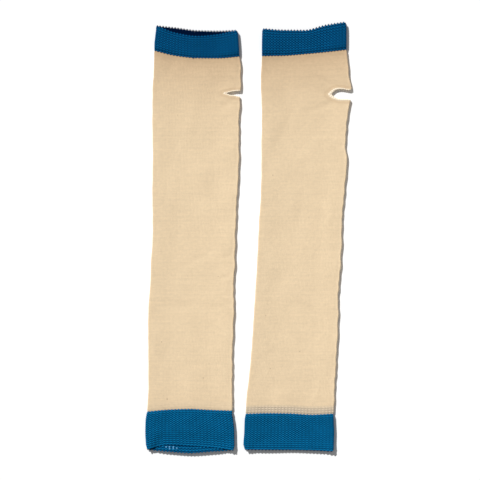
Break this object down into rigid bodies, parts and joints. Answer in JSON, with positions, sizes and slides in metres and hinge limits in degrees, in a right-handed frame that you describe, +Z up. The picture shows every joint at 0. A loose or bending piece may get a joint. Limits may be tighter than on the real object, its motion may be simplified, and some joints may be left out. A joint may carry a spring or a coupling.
{
  "type": "pair of knitted arm warmers",
  "caption": "Pair of tubular knitted arm warmers laid flat side by side, cream jersey with ribbed blue cuffs at the hand and arm ends and a thumb slit across one fold.",
  "frame": {"origin": "on the surface the pair lies on, under the middle of the pair", "axes": "+Y along the tubes towards the hand ends, +X across them towards the thumb slits' side, +Z up out of the surface"},
  "size_m": [0.2059, 0.4288, 0.0056],
  "materials": {
    "cream_jersey": "matte fine plain knit",
    "blue_rib": "matte ribbed knit"
  },
  "bodies": {
    "root": {"body_left": "cream_jersey", "hand_cuff_left": "blue_rib", "arm_cuff_left": "blue_rib", "body_right": "cream_jersey", "hand_cuff_right": "blue_rib", "arm_cuff_right": "blue_rib"}
  },
  "joints": []
}
